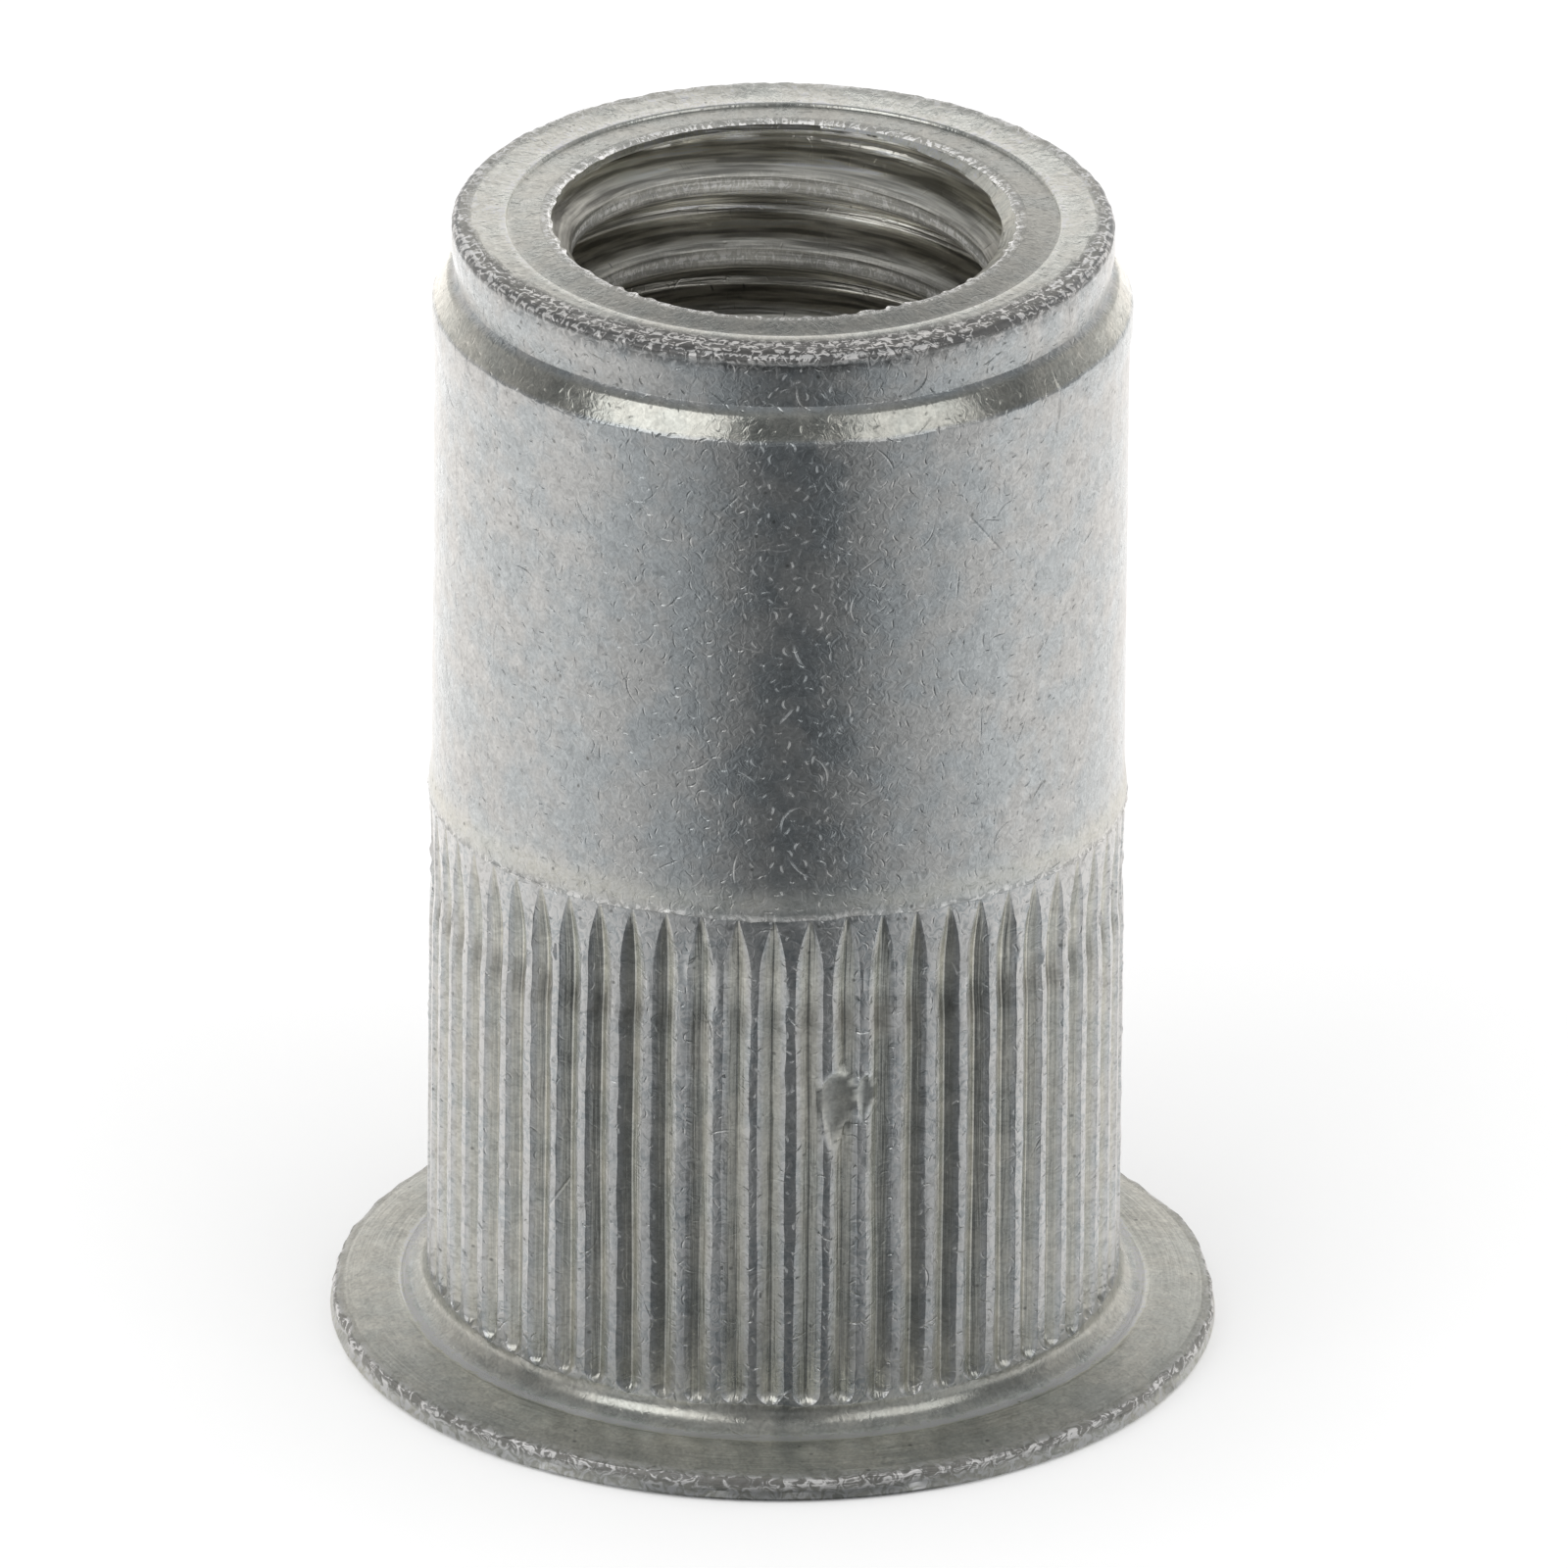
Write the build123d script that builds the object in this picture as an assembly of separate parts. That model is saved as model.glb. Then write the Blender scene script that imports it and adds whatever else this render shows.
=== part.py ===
from build123d import *
import math
import os

# A rivet nut in millimetres. Z is its axis, and the flange's outer face lies at Z = 0.
# The open, threaded end points up, as the nut stands on its flange.

# Body, and the flange with its rolled-over rim and the hollow curve at its root
overall_length = 19.0
body_diameter = 11.0
flange_overhang = 1.5
flange_thickness = 0.55
rim_roll_run = 0.55
rim_roll_fall = 0.17
root_run = 0.47
root_height = 0.35

# Thread, cut to the face of the open end. The bore is drawn at the thread's crests.
thread_diameter = 8.0
thread_pitch = 1.25
thread_length = 8.6
mouth_chamfer = 0.3

# Thin-walled chamber, which folds outward when the nut is set
chamber_wall = 1.0
chamber_cone_angle = 45.0
chamber_mouth_chamfer = 0.2

# Open end: a rolled lip that stands above a flat inner ring, with a sloping trough between
# them, a narrow neck under the lip and a shoulder cone.
# The shares are of the wall between the mouth's edge and the lip's.
lip_height = 0.93
lip_inset = 0.3
lip_land = 0.3
lip_round_share = 0.1
lip_rim_share = 0.2
inner_ring_share = 0.445
inner_ring_sink = 0.04
trough_depth = 0.07
neck_inset = 0.37
neck_ledge = 0.15
neck_ledge_fall = 0.06
shoulder_height = 0.46

# Smooth shank, with a band at full size under the shoulder and a ridge at its foot
shank_length = 9.62
shank_relief = 0.05
band_height = 0.4
band_taper = 0.25
ridge_flare = 0.5

# Straight grooves of the gripping half, spear-tipped at the ridge and blunt at the flange.
# The lands between them are drawn in at a waist below the ridge.
groove_count = 60
groove_depth = 0.13
groove_angle = 118.0
groove_taper = 0.8
groove_end_gap = 0.02
groove_foot_cuts = 4
land_relief = 0.03
waist_relief = 0.065
waist_drop = 1.53
waist_run = 2.13

# Radii and heights that follow from the sizes above
body_radius = body_diameter / 2
shank_radius = body_radius - shank_relief
land_radius = body_radius - land_relief
waist_radius = body_radius - waist_relief
lip_radius = body_radius - lip_inset
neck_radius = body_radius - neck_inset
flange_radius = body_radius + flange_overhang
chamber_radius = body_radius - chamber_wall
thread_height = thread_pitch * math.sqrt(3) / 2
bore_radius = thread_diameter / 2 - 5 / 8 * thread_height
mouth_radius = bore_radius + mouth_chamfer
end_wall = lip_radius - mouth_radius
lip_round = lip_round_share * end_wall
lip_rim_radius = lip_radius - lip_rim_share * end_wall
ring_radius = mouth_radius + inner_ring_share * end_wall
ridge_z = overall_length - shank_length
waist_z = ridge_z - waist_drop
root_z = flange_thickness + root_height
ring_z = overall_length - inner_ring_sink
neck_z = overall_length - lip_height
shoulder_z = neck_z - shoulder_height
band_z = shoulder_z - band_height
thread_z = overall_length - thread_length
cone_height = (chamber_radius - bore_radius) / math.tan(math.radians(chamber_cone_angle))
chamber_z = thread_z - cone_height
flank_slope = math.tan(math.radians(groove_angle / 2))
groove_half_width = groove_depth * flank_slope
groove_foot_z = root_z + groove_end_gap + groove_half_width


def gripping_side():
    """Corners of the half section, as radius and height, from the flange's root to the ridge."""
    return [
        (land_radius, root_z),
        (land_radius, ridge_z - waist_run),
        (waist_radius, waist_z),
        (land_radius, ridge_z),
    ]


def shank_side():
    """Corners from the ridge up to the open end's face."""
    return [
        (body_radius, ridge_z),
        (shank_radius, ridge_z + ridge_flare),
        (shank_radius, band_z - band_taper),
        (body_radius, band_z),
        (body_radius, shoulder_z),
        (neck_radius + neck_ledge, neck_z - neck_ledge_fall),
        (neck_radius, neck_z),
        (lip_radius, overall_length - lip_round - lip_land),
        (lip_radius, overall_length),
        (lip_rim_radius, overall_length),
        (ring_radius, overall_length - trough_depth),
        (ring_radius, ring_z),
    ]


def chamber_side():
    """Corners along the bore, from the open end's face down."""
    return [
        (mouth_radius, ring_z),
        (bore_radius, ring_z - mouth_chamfer),
        (bore_radius, thread_z),
        (chamber_radius, chamber_z),
        (chamber_radius, chamber_mouth_chamfer),
        (chamber_radius + chamber_mouth_chamfer, 0),
    ]


def flange_side():
    """Corners round the flange, from its outer face to the edge of the hollow curve."""
    return [
        (flange_radius, 0),
        (flange_radius, flange_thickness - rim_roll_fall),
        (flange_radius - rim_roll_run, flange_thickness),
        (body_radius + root_run, flange_thickness),
    ]


def half_section():
    """The nut's wall as one face in the XZ plane, to be turned about Z."""
    corners = gripping_side() + shank_side() + chamber_side() + flange_side()
    hollow = TangentArc([corners[0], corners[-1]], tangent=(0, -1))
    section = make_face(Polyline(corners) + hollow).face()
    lip_corner = section.vertices().sort_by_distance((lip_radius, overall_length, 0))[0]
    return Plane.XZ * section.fillet_2d(lip_round, [lip_corner])


def groove_corners(root_r):
    """Half of a groove's section as radius and width: a V, then straight sides past the body."""
    wall_r = root_r + groove_depth
    return [(root_r, 0), (wall_r, groove_half_width), (body_radius + root_run, groove_half_width)]


def groove_prism(root_r, z, way):
    """A groove's whole section, level at this height, carried along the vector way."""
    half = groove_corners(root_r)
    left = [(r, width, z) for r, width in half]
    right = [(r, -width, z) for r, width in reversed(half[1:])]
    section = make_face(Polyline(left + right, close=True)).face()
    return extrude(section, way.length, dir=way)


def groove_foot(root_r):
    """The blunt lower end: what is common to copies of the V turned about the line of its depth."""
    reach = 2 * groove_half_width
    vee = groove_prism(root_r, -reach, Vector(0, 0, 2 * reach))
    foot = vee
    for cut in range(1, groove_foot_cuts):
        foot = foot & Rot(X=180 * cut / groove_foot_cuts) * vee
    return Pos(0, 0, groove_foot_z) * foot


def groove_line():
    """Root of a groove as radius and height: level under the lands, into the waist, out at the ridge."""
    tip_z = ridge_z - groove_taper
    tip_land = land_radius + (waist_radius - land_radius) * groove_taper / waist_drop
    return [
        (land_radius - groove_depth, groove_foot_z),
        (land_radius - groove_depth, ridge_z - waist_run),
        (waist_radius - groove_depth, waist_z),
        (tip_land - groove_depth, tip_z),
        (land_radius, ridge_z),
    ]


def groove_cutter():
    """What one groove takes away: its foot, then the V carried along its line to the spear tip."""
    line = groove_line()
    runs = [
        groove_prism(r, z, Vector(next_r - r, 0, next_z - z))
        for (r, z), (next_r, next_z) in zip(line, line[1:])
    ]
    return groove_foot(line[0][0]) + runs


def rivet_nut():
    """The turned blank, with its grooves cut all round."""
    blank = revolve(half_section(), Axis.Z)
    return blank - list(PolarLocations(0, groove_count, start_angle=-90) * groove_cutter())


os.makedirs("parts", exist_ok=True)
nut = rivet_nut()
nut.label = "rivet_nut"
export_step(nut, "parts/rivet_nut.step")
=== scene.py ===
import math
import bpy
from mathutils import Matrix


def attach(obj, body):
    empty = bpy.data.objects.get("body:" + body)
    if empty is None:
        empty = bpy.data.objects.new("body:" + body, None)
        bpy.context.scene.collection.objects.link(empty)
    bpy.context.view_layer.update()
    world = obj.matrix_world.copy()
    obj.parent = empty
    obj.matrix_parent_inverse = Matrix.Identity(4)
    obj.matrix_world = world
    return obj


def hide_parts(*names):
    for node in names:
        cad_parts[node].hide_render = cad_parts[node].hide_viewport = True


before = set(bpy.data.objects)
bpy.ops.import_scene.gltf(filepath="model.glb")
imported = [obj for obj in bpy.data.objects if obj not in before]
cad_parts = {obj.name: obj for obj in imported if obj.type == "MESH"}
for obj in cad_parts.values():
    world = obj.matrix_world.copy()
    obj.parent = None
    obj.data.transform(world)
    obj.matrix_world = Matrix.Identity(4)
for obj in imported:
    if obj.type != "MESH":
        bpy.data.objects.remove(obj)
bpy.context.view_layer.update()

from types import SimpleNamespace

import bpy
import numpy as np
from mathutils import Matrix, Vector

# Sizes in millimetres. Z is the nut's axis and the flange's outer face lies at Z = 0.
MM = 0.001
LENGTH = 19.0
BODY_R = 5.5
LAND_R = 5.47
WAIST_R = 5.435
ROOT_Z = 0.9
ROOT_RUN = 0.47
ROOT_RISE = 0.35
WAIST_FOOT_Z = 7.25
WAIST_Z = 7.85
RIDGE_Z = 9.38
SHOULDER_Z = 17.61
LIP_R = 5.2
LIP_ROUND = 0.15
LIP_TOP_Z = LENGTH - 0.02
MOUTH_R = 3.64
MOUTH_Z = 18.905
COUNTERSINK = 0.26
THREAD_R = 3.323
THREAD_FOOT_Z = 10.4
THREAD_DEPTH = 0.66
THREAD_TOP_Z = 18.25
PITCH = 1.25
CREST_Z = 17.99
CHAMBER_R = 4.5
CHAMBER_Z = 9.22

# Rows of the wall's profile, as radius and height, outside from the bottom up
FLANGE_ROWS = (
    (5.2, 0), (6.9, 0), (6.975, 0.015), (7.0, 0.05), (7.0, 0.15), (7.0, 0.26), (6.995, 0.32),
    (6.975, 0.36), (6.93, 0.39), (6.8, 0.425), (6.6, 0.48), (6.38, 0.53), (6.15, 0.55),
    (6.02, 0.555), (5.985, 0.556),
)
RIDGE_ROWS = ((5.497, RIDGE_Z), (5.507, 9.395), (5.507, 9.415), (5.497, 9.44), (5.494, 9.5))
SHANK_ROWS = (
    (5.484, 9.6), (5.47, 9.74), (5.456, 9.95), (5.45, 10.3), (5.45, 11.0), (5.45, 12.0),
    (5.45, 13.0), (5.45, 14.0), (5.45, 15.0), (5.45, 15.9), (5.45, 16.6), (5.452, 16.93),
    (5.468, 17.03), (5.488, 17.13), (5.497, 17.24), (5.497, 17.4), (5.497, 17.54),
    (5.494, 17.578), (5.484, 17.6),
)
NECK_ROWS = (
    (5.45, 17.65), (5.39, 17.76), (5.33, 17.87), (5.285, 17.95), (5.26, 17.985),
    (5.215, 18.015), (5.165, 18.045), (5.137, 18.08), (5.14, 18.15), (5.165, 18.3),
    (5.19, 18.42), (5.2, 18.54), (5.2, 18.66),
)
# The open end's face, from the lip inward to the mouth
FACE_ROWS = (
    (4.98, 18.987), (4.9, 18.982), (4.82, 18.967), (4.74, 18.95), (4.62, 18.942),
    (4.5, 18.942), (4.42, 18.946), (4.37, 18.944), (4.345, 18.93), (4.33, 18.902),
    (4.3, 18.898), (4.2, 18.904), (4.08, 18.915), (3.95, 18.927), (3.82, 18.938),
    (3.74, 18.94), (3.69, 18.932), (MOUTH_R, MOUTH_Z),
)
# The chamber inside, from the thread's foot down
CHAMBER_ROWS = (
    (THREAD_R, THREAD_FOOT_Z), (3.9, 9.83), (CHAMBER_R, CHAMBER_Z), (CHAMBER_R, 6.5),
    (CHAMBER_R, 3.5), (CHAMBER_R, 0.2), (4.7, 0.0),
)

# Grooves: how many, how deep and wide, where the blunt foot and the spear tip begin
GROOVES = 60
GROOVE_DEPTH = 0.13
GROOVE_HALF = 0.2164
FOOT_Z = 1.13
FOOT_ROUND = 0.21
TIP_Z = 8.4
FIRST_GROOVE = math.radians(-90.35)
# Columns of one groove: their places across it and the share of its depth there, then two on the
# land, which stands a little proud of its edges
ACROSS = np.array([-1, -0.93, -0.5, -0.07, 0.07, 0.5, 0.93, 1])
DEEP = np.array([0.0, 0.11, 0.52, 1, 1, 0.52, 0.11, 0.0])
ON_LAND = np.array([1 / 3, 2 / 3])
LAND_RISE = -0.02
COLUMNS = GROOVES * (len(ACROSS) + len(ON_LAND))
PLAIN_COLUMNS = COLUMNS // 2
BORE_COLUMNS = COLUMNS // 5

# Drops of the dent: angle, height where widest, half width, rise, fall and depth
DROPS = ((10.2, 6.25, 0.27, 0.42, 0.95, 0.065), (14.9, 6.27, 0.13, 0.34, 0.45, 0.06))
# Small knocks: angle, height, and how far they reach across and up
KNOCKS = (
    (-3.3, 5.19, 0.13, 0.07), (2.6, 5.9, 0.16, 0.06), (-3.3, 4.15, 0.1, 0.06), (33, 7.1, 0.1, 0.05),
)
# Bites out of the flange's rim: angle, depth and width in degrees
BITES = (
    (19.5, 0.06, 1.6), (63, 0.07, 2), (-77, 0.09, 2.2), (-70, 0.06, 1.8), (-31, 0.04, 2.5),
    (150, 0.07, 2),
)
# Long scratches: angle, height, lean from upright in degrees, length and width
SCRATCHES = ((52.2, 17.3, 3, 1.3, 0.035), (36, 15.6, -40, 1.2, 0.03), (-38, 4.1, 30, 0.9, 0.03))

# Shares of the finish, and a factor of painted light and shade on the colour, each an attribute of
# the skin's points
FINISH = (
    "scuffed", "torn", "tinted", "turned", "drawn", "dull", "rough", "painted_light_factor", "smooth", "matt",
)
# The finish's colours: clean zinc and zinc in the hollows from dark to pale patches, scuffed spots,
# flecks of the torn edges, streaks in the thread, and dark specks
COOL_ZINC = ((0.572, 0.603, 0.611, 1), (0.646, 0.648, 0.634, 1))
WARM_ZINC = ((0.555, 0.56, 0.515, 1), (0.65, 0.64, 0.58, 1))
SCUFFED_ZINC = (0.76, 0.76, 0.75, 1)
TORN_FLECKS = ((0.15, 0.145, 0.14, 1), (0.93, 0.91, 0.89, 1))
THREAD_STREAKS = ((0.27, 0.26, 0.235, 1), (0.8, 0.78, 0.71, 1))
SPECK = (0.2, 0.2, 0.19, 1)
# Lines per millimetre round the nut and along it, of drawn and of turned lines
DRAWN_LINES = (13.0, 0.45, 1.0, 1)
TURNED_LINES = (0.35, 14.0, 1.0, 1)
# Depths of the relief in millimetres: curling wrinkles where rough and where smooth, drawn and
# turned lines, short scratches and long ones
WRINKLE, SMOOTH_WRINKLE = 0.0105, 0.0005
DRAWN_LINE, TURNED_LINE = 0.012, 0.015
SHORT_SCRATCH, LONG_SCRATCH = -0.009, -0.012

# Levels that the metal sees, from the front of the floor to the back, and up the walls behind and
# in front: pairs of place on the ramp and level
FLOOR_STOPS = (
    (0.0, 0.10), (0.012, 0.135), (0.035, 0.275), (0.09, 0.43), (0.18, 0.53), (0.36, 0.765),
    (0.58, 0.835), (0.79, 1.0), (0.92, 1.25), (1.0, 1.6),
)
BACK_STOPS = (
    (0.0, 0.85), (0.2, 0.8), (0.3, 0.78), (0.42, 0.95), (0.5, 0.68), (0.6, 0.4), (0.71, 0.27),
    (1.0, 0.3),
)
FRONT_STOPS = ((0.0, 0.3), (0.3, 0.12), (0.55, 0.12), (0.8, 0.24), (1.0, 0.3))

# The photo's view: size of its frame and focal length in pixels, pixels per millimetre at the nut,
# how far the view's middle lies right of and below the nut's, and the camera's place
FRAME_PX = 1600
FOCAL_PX = 51893
PX_PER_MM = 64.866
OFF_RIGHT_PX, OFF_DOWN_PX = 6.34, 14.61
VIEW_HEIGHT = 9.4
CAMERA_AWAY = 800
CAMERA_RISE = math.radians(25.379)
CAMERA_ROLL = math.radians(-0.58)


def ease(low, high, value):
    """A smooth step: 0 below low, 1 above high, and 3t squared less 2t cubed between."""
    t = np.clip((value - low) / (high - low), 0, 1)
    return t * t * (3 - 2 * t)


def bell(middle, reach, value):
    """A hump: 1 at the middle, fading as the exponential of minus the square of the distance over
    the reach."""
    return np.exp(-(((value - middle) / reach) ** 2))


def lumps(turn, height, round_cells, cell_height, seed):
    """Smooth noise from -1 to 1: random values on a lattice of turn and height, eased between its
    knots. The lattice meets itself after a whole turn."""
    table = np.random.default_rng(seed).uniform(-1, 1, (128, round_cells))
    u = np.mod(turn / (2 * np.pi), 1) * round_cells
    v = height / cell_height + 64
    i, j = np.floor(v).astype(int), np.floor(u).astype(int)
    s, t = ease(0, 1, v - i), ease(0, 1, u - j)
    i, j = i % 128, j % round_cells
    above, beside = (i + 1) % 128, (j + 1) % round_cells
    low = table[i, j] * (1 - t) + table[i, beside] * t
    high = table[above, j] * (1 - t) + table[above, beside] * t
    return low * (1 - s) + high * s


def arc(centre, radius, start, end, steps):
    """Points round a circle between two angles in degrees, with both ends."""
    a = np.radians(np.linspace(start, end, steps))
    return np.array(centre) + radius * np.stack([np.cos(a), np.sin(a)], axis=1)


def outer_parts():
    """The wall from the outer face, round the flange, up the body and over the lip to the mouth, as
    rows of radius and height in four parts: flange, knurl with its ridge, shank and neck, lip and
    face. The hollow at the flange's root is an arc that leaves the lands upright."""
    run = BODY_R + ROOT_RUN - LAND_R
    hollow_r = (run**2 + ROOT_RISE**2) / (2 * run)
    hollow = arc((LAND_R + hollow_r, ROOT_Z), hollow_r, 289, 180, 10)
    foot_q = np.array([1, 0.97, 0.88, 0.7, 0.45, 0.2, 0])
    knurl_z = np.concatenate([
        [0.912], FOOT_Z - FOOT_ROUND * foot_q, np.arange(1.3, 4.7, 0.28),
        np.arange(4.85, 5.45, 0.12), np.arange(5.5, 6.85, 0.055), np.arange(6.98, 7.9, 0.125),
        np.arange(8.0, 8.6, 0.15), [8.68, 8.8, 8.9, 8.99, 9.08, 9.16, 9.23, 9.29, 9.335, 9.365],
    ])
    knurl_r = LAND_R - (LAND_R - WAIST_R) * ease(WAIST_FOOT_Z, WAIST_Z, knurl_z)
    knurl_r += (LAND_R - WAIST_R) * ease(WAIST_Z, RIDGE_Z, knurl_z)
    knurl = np.stack([knurl_r, knurl_z], axis=1)
    lip = arc((LIP_R - LIP_ROUND, LIP_TOP_Z - LIP_ROUND), LIP_ROUND, -10, 80, 8)
    return [
        np.concatenate([FLANGE_ROWS, hollow]), np.concatenate([knurl, RIDGE_ROWS]),
        np.concatenate([SHANK_ROWS, NECK_ROWS]), np.concatenate([lip, FACE_ROWS]),
    ]


def foot_share(z):
    """How far below the start of a groove's round foot a height lies, from 0 to 1 at its end."""
    return np.clip(FOOT_Z - z, 0, FOOT_ROUND) / FOOT_ROUND


def groove_half_width(z):
    """Half a groove's width: rounded in at the foot as a circle is, level, then narrowing in a
    bowed line to a small blunt tip."""
    foot = np.sqrt(np.clip(1 - foot_share(z) ** 2, 0, 1))
    tip = np.clip((RIDGE_Z - z) / (RIDGE_Z - TIP_Z), 0, 1)
    bowed = 0.1 + 0.9 * (1 - (1 - tip) ** 1.6)
    return np.maximum(GROOVE_HALF * foot * bowed * (tip > 0), 0.006)


def groove_depth(z):
    """A groove's depth below the lands, which comes up at the foot and runs out at the ridge."""
    foot = np.clip(1 - foot_share(z) ** 2, 0, 1) ** 0.7
    tip = np.clip((RIDGE_Z - z) / (RIDGE_Z - TIP_Z), 0, 1)
    return GROOVE_DEPTH * foot * (1 - (1 - tip) ** 1.4)


def even_turns(z, columns):
    """Evenly spaced columns, the same in each row."""
    step = np.arange(columns) * (COLUMNS // columns)
    return FIRST_GROOVE + 2 * np.pi * (step - 3.5) / COLUMNS + 0 * z


def wander(groove, height, seed, cell=0.32):
    """Noise along each groove by itself: the lattice has one knot per groove."""
    return lumps(groove * 2 * np.pi / GROOVES + 0 * height, height, GROOVES, cell, seed)


def groove_turns(r, z):
    """Each column's angle in each row. On the knurl the columns keep to the grooves' edges and
    flanks, and the edges wander by smooth noise. Above the ridge they become evenly spaced."""
    groove = np.arange(GROOVES)
    half = groove_half_width(z)
    rough = 0.014 * ease(0, 0.1, half) * (1 - 0.5 * ease(7.2, 8.4, z))
    left = (half + rough * wander(groove, z, 21)) / r
    right = (half + rough * wander(groove, z, 22)) / r
    lean = 0.004 * wander(groove, z, 23, 2.5) * half / GROOVE_HALF
    centre = FIRST_GROOVE + 2 * np.pi / GROOVES * groove + lean
    flanks = np.where(ACROSS < 0, left[:, :, None], right[:, :, None]) * ACROSS
    spacing = np.mod(np.roll(centre, -1, axis=1) - centre, 2 * np.pi)
    gap = spacing - right - np.roll(left, -1, axis=1)
    lands = right[:, :, None] + gap[:, :, None] * ON_LAND
    turns = centre[:, :, None] + np.concatenate([flanks, lands], axis=2)
    turns = turns.reshape(len(z), COLUMNS)
    return turns + (even_turns(z, COLUMNS) - turns) * ease(RIDGE_Z - 0.004, RIDGE_Z + 0.1, z)


def wall(rows, turn, section):
    """One part of the outside as a grid of its rows and columns. The radius is the profile's, less
    the groove's depth times its section, plus wear, and the levels waver. Also gives how deep in a
    groove each point is, and its shares in the dent and on the dent's brim."""
    r, z = rows[:, :1], rows[:, 1:]
    phi = turn + np.pi / 2
    cleft = np.clip(section, 0, 1) * (z < RIDGE_Z) + 0 * turn
    dig, smear, brim = smeared_dent(phi, z + 0 * turn, groove_depth(z) * section)
    height = z + 0 * turn
    radius = worn_radius(r - dig, turn, height, cleft, smear)
    height = wavering_levels(height, turn, phi)
    radius, height = ragged_rim(radius, height, turn, phi)
    radius, height = torn_lip(radius, height, turn)
    return radius, height, cleft, smear, brim


def worn_radius(radius, turn, height, cleft, smear):
    """The radius with lumpy lands and small burrs on them, most near the waist, slow waves round
    the body, and an uneven edge of the ridge."""
    on_knurl = ((height > 0.9) & (height < RIDGE_Z)) * (1 - smear)
    radius = radius + 0.006 * on_knurl * (1 - cleft) * lumps(turn, height, 600, 0.13, 3)
    burrs = np.clip(lumps(turn, height, 300, 0.1, 9) - 0.75 + 0.25 * bell(8.2, 0.5, height), 0, 1)
    radius = radius + 0.11 * burrs * ease(0.3, 0.0, cleft) * ease(1.0, 1.4, height) * on_knurl
    body = ease(0.6, 0.9, height) * (1 - ease(18.5, 18.8, height))
    radius = radius + 0.004 * body * lumps(turn, height, 40, 1.7, 4)
    near_ridge = bell(RIDGE_Z + 0.03, 0.05, height)
    return radius + 0.024 * near_ridge * (lumps(turn, 0 * height, 200, 5, 5) - 0.05)


def wavering_levels(z, turn, phi):
    """The heights with the knurl's end lower at the sides than at front and back, a wavering line
    and a jog of the ridge, a rough edge of the shoulder, and groove feet at uneven levels."""
    sag = 0.125 * (1 - np.cos(2 * phi)) * ease(1.5, 9.0, z) * (1 - ease(9.6, 13.0, z))
    waver = 0.022 * lumps(turn, 0 * z, 150, 1, 6) + 0.025 * lumps(turn, 0 * z, 27, 1, 7)
    jog = 0.07 * bell(math.radians(13), math.radians(4), phi) * np.cos(8 * (phi - math.radians(10)))
    height = z - sag + (waver + jog) * bell(RIDGE_Z, 0.3, z)
    edge = 0.02 * lumps(turn, 0 * z, 60, 1, 24) + 0.012 * lumps(turn, 0 * z, 200, 1, 25)
    height = height + edge * bell(SHOULDER_Z, 0.06, z)
    groove = np.round((turn - FIRST_GROOVE) / (2 * np.pi / GROOVES))
    return height + 0.03 * wander(groove, 0 * z, 8) * bell(0.98, 0.16, z)


def smeared_dent(phi, height, dig):
    """A knock on the front of the knurl: inside two dished drops side by side, the larger drawn to
    a point below, the grooves are filled to a smooth level with a raised edge above. Smaller knocks
    bridge a land beside it. Each drop's span is 1 on its outline: an ellipse above, and below the
    share across plus a power of the share down."""
    share, brim = 0 * phi, 0 * phi
    for angle, widest, half, rise, fall, sink in DROPS:
        up = height - widest
        across = ((phi - math.radians(angle)) * LAND_R - 0.04 * up) / half
        above = np.hypot(across, up / rise)
        below = np.abs(across) + np.clip(-up / fall, 0, 3) ** 1.3
        span = np.where(up > 0, above, below)
        inside = ease(1.22, 0.84, span)
        lift = 0.035 * bell(1.1, 0.12, span) * ease(0.0, 0.2, up)
        dig = dig * (1 - inside) + sink * (1.2 - 0.6 * span**2) * inside - lift
        share = np.maximum(share, inside)
        brim = np.maximum(brim, bell(1.1, 0.09, span) * ease(-0.1, 0.2, up))
    for angle, z, wide, tall in KNOCKS:
        knock = bell(0, wide, (phi - math.radians(angle)) * LAND_R) * bell(z, tall, height)
        dig = dig * (1 - 0.8 * knock) - 0.012 * knock
    return dig, share, brim


def ragged_rim(radius, height, turn, phi):
    """The sheared rim: its edge wavers in and out and up and down, and small notches bite it."""
    at_rim = ease(6.7, 6.98, radius) * ease(0.03, 0.1, height)
    fray = 0.022 * lumps(turn, height, 150, 0.12, 11) + 0.014 * lumps(turn, 0 * height, 64, 1, 12)
    fray = fray - 0.036
    for angle, depth, wide in BITES:
        away = np.degrees(np.angle(np.exp(1j * (phi - math.radians(angle)))))
        fray = fray - depth * bell(0, wide, away)
    edge = ease(6.86, 6.98, radius) * ease(0.25, 0.34, height)
    lift = 0.03 * (lumps(turn, 0 * height, 130, 1, 13) + 0.4) * edge
    return radius + at_rim * fray, height + lift


def torn_lip(radius, height, turn):
    """The lip's rim, torn where it was rolled: fine lumps outward and upward, coarser at the front,
    and small burrs along the mouth's edge, which is pushed in a little at the front."""
    on_rim = ease(4.74, 4.86, radius) * ease(18.7, 18.85, height)
    scuff = 0.03 * lumps(turn, radius + height, 230, 0.09, 14)
    scuff = scuff + 0.014 * lumps(turn, height, 90, 0.2, 15)
    mouth = bell(MOUTH_R, 0.06, radius) * ease(18.85, 18.9, height)
    burr = np.clip(lumps(turn, 0 * height, 150, 1, 16), -0.2, 1)
    front = np.clip(-np.sin(turn), 0, 1)
    scuff = scuff * (0.35 + 0.4 * front)
    radius = radius + on_rim * (scuff - 0.006) - mouth * (0.045 * burr + 0.04 * front)
    return radius, height + on_rim * (scuff - 0.022) + 0.015 * mouth * burr


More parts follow.
